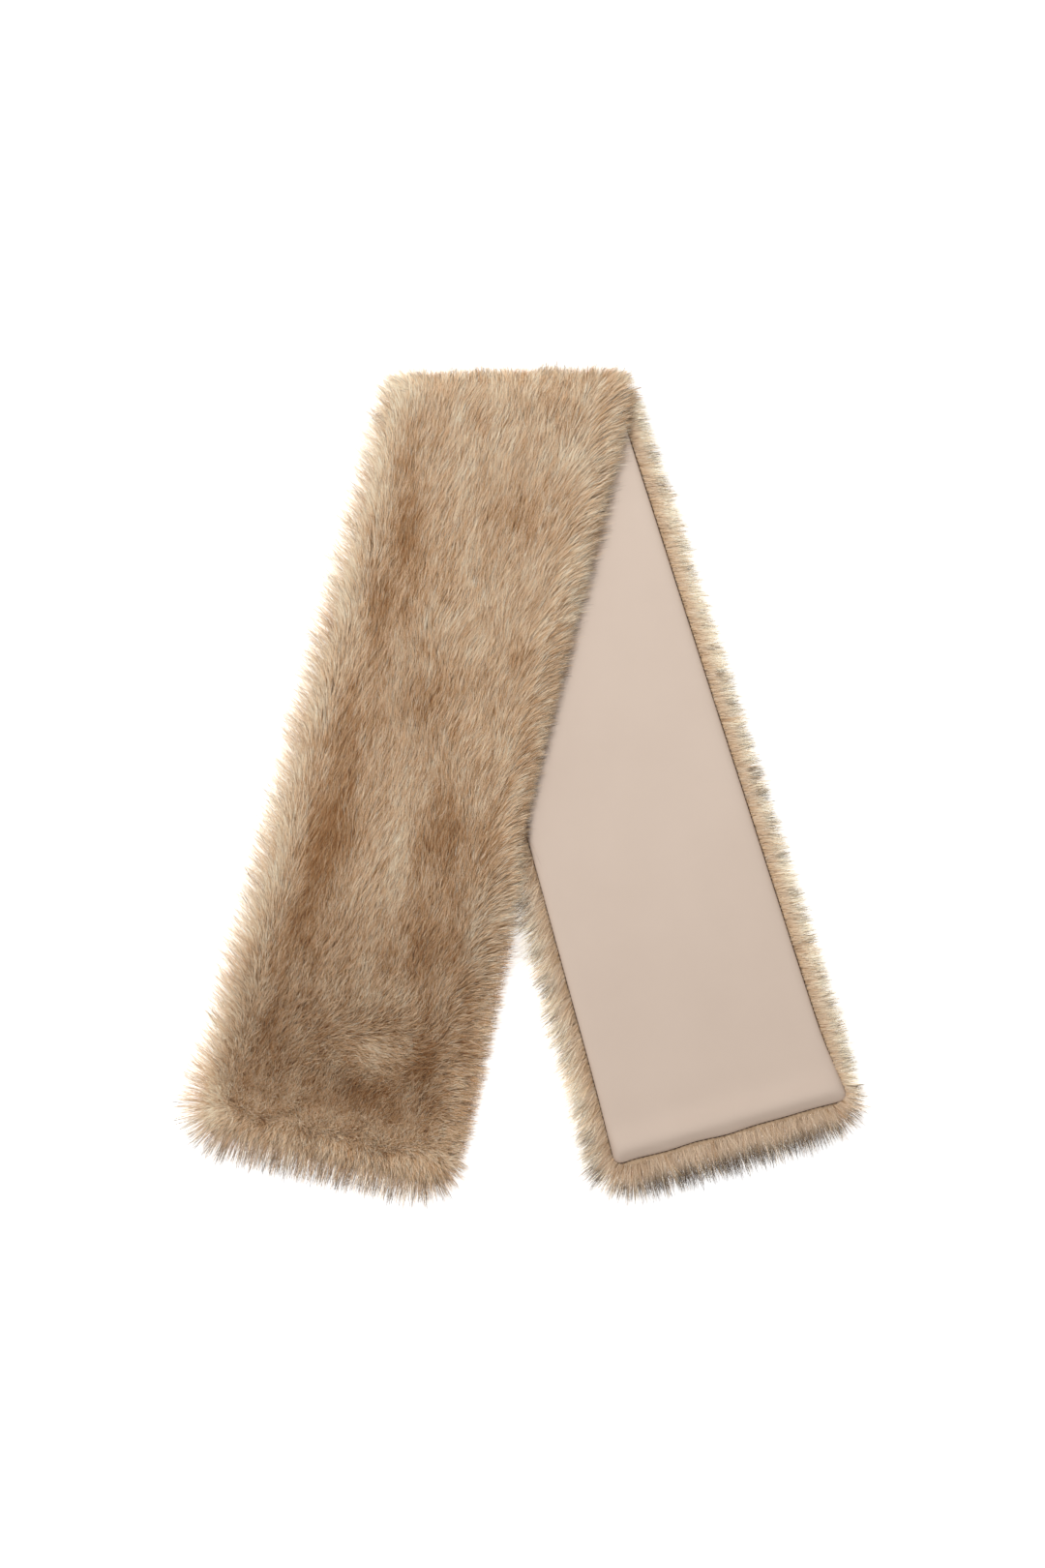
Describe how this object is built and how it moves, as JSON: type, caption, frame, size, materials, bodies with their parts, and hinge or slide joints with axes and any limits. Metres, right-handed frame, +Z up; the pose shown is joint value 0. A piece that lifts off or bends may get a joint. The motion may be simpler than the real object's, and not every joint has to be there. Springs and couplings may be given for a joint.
{
  "type": "fur collar wrap",
  "caption": "Straight long-pile fur scarf with a smooth lining, folded across its middle and laid flat as two tails, fur outside.",
  "frame": {"origin": "middle of the laid wrap's bounding box, on the surface it lies on", "axes": "+Z up from the surface, +Y towards the fold, +X towards the back tail"},
  "size_m": [0.4209, 0.5166, 0.0278],
  "materials": {
    "fur_pile": "long soft pile, beige with brown streaks and dark hair tips",
    "lining": "smooth matt pinkish beige"
  },
  "bodies": {
    "root": {"fur_front_tail": "fur_pile", "fur_fold": "fur_pile", "fur_back_tail": "fur_pile", "lining_front_tail": "lining", "lining_back_tail": "lining"}
  },
  "joints": []
}
